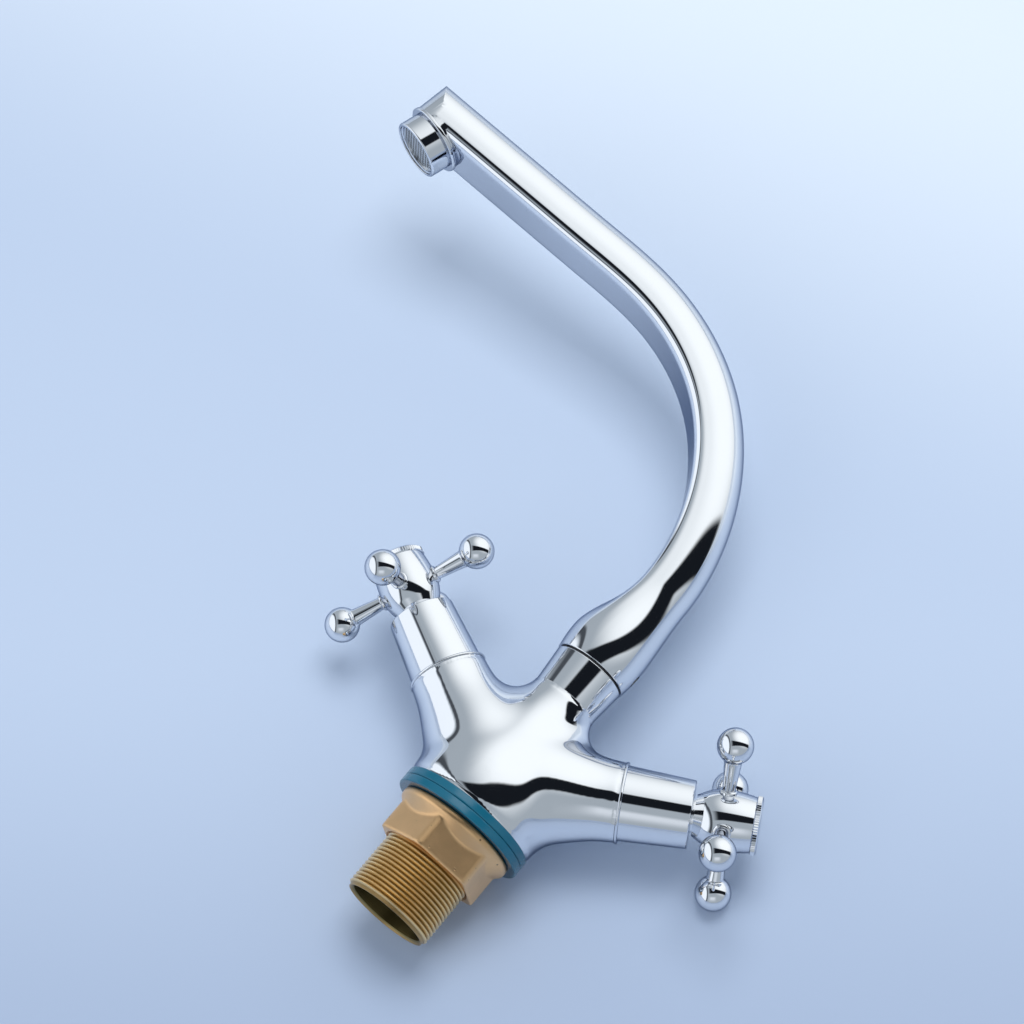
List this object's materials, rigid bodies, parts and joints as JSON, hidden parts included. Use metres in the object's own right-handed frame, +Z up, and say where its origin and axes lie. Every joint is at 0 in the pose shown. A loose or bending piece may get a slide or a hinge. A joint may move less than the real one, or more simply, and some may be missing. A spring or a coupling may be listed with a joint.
{
  "type": "basin tap",
  "caption": "Deck-mounted basin tap with a swivelling swan-neck spout and aerator, cross handles on angled arms, and a threaded shank with backnut and gaskets.",
  "frame": {"origin": "on the tap's vertical axis, in the plane where the two gaskets meet and where the deck's top face lies when fitted", "axes": "+Z up along the shank and neck, +X towards the cold handle, +Y away from the user; the spout points mostly towards -X at rest"},
  "size_m": [0.259, 0.0628, 0.2456],
  "materials": {
    "chrome_plate": "polished chrome plate on brass",
    "threaded_brass": "turned brass, cut thread",
    "cast_brass": "cast brass, bead blasted",
    "machined_brass": "turned brass",
    "steel": "stainless steel",
    "teal_rubber": "smooth blue-green rubber",
    "black_rubber": "smooth black rubber",
    "fibre": "pressed fibre",
    "ceramic": "lapped alumina",
    "nylon": "moulded nylon"
  },
  "bodies": {
    "body": {"body_casting": "chrome_plate", "shank": "threaded_brass", "shank_seal": "fibre", "upper_gasket": "teal_rubber", "neck_collar": "chrome_plate", "neck_orings": "black_rubber", "slip_washer": "nylon", "hot_trim_ring": "chrome_plate", "hot_sleeve": "chrome_plate", "hot_seat_seal": "black_rubber", "hot_fixed_disc": "ceramic", "hot_cartridge_housing": "machined_brass", "cold_trim_ring": "chrome_plate", "cold_sleeve": "chrome_plate", "cold_seat_seal": "black_rubber", "cold_fixed_disc": "ceramic", "cold_cartridge_housing": "machined_brass"},
    "spout": {"spout": "chrome_plate", "spout_bush": "nylon", "spout_grub_screw": "steel", "aerator_shell": "chrome_plate", "aerator_mesh": "steel", "aerator_insert": "nylon", "aerator_washer": "black_rubber"},
    "hot_handle": {"hot_hub": "chrome_plate", "hot_spokes": "chrome_plate", "hot_hub_screw": "steel", "hot_index_cap": "chrome_plate", "hot_spindle": "machined_brass", "hot_spindle_orings": "black_rubber", "hot_moving_disc": "ceramic"},
    "cold_handle": {"cold_hub": "chrome_plate", "cold_spokes": "chrome_plate", "cold_hub_screw": "steel", "cold_index_cap": "chrome_plate", "cold_spindle": "machined_brass", "cold_spindle_orings": "black_rubber", "cold_moving_disc": "ceramic"},
    "lower_gasket": {"lower_gasket": "teal_rubber"},
    "backnut": {"backnut": "cast_brass"}
  },
  "joints": [
    {"name": "spout_swivel", "type": "hinge", "parent": "body", "child": "spout", "pos_m": [0, 0, 0.0669], "axis": [0, 0, 1], "continuous": true},
    {"name": "hot_turn", "type": "hinge", "parent": "body", "child": "hot_handle", "pos_m": [0, 0, 0.0179], "axis": [-0.8829, 0, 0.4695], "range_deg": [0, 90]},
    {"name": "cold_turn", "type": "hinge", "parent": "body", "child": "cold_handle", "pos_m": [0, 0, 0.0179], "axis": [0.8829, 0, 0.4695], "range_deg": [-90, 0]},
    {"name": "gasket_drop", "type": "slide", "parent": "body", "child": "lower_gasket", "axis": [0, 0, -1], "range_m": [0, 0.021]},
    {"name": "nut_turn", "type": "hinge", "parent": "lower_gasket", "child": "backnut", "pos_m": [0, 0, 0], "axis": [0, 0, -1], "range_deg": [0, 5050]}
  ],
  "couplings": [
    {"joint": "nut_turn", "follows": "gasket_drop", "rad_per_m": 4188.8}
  ]
}
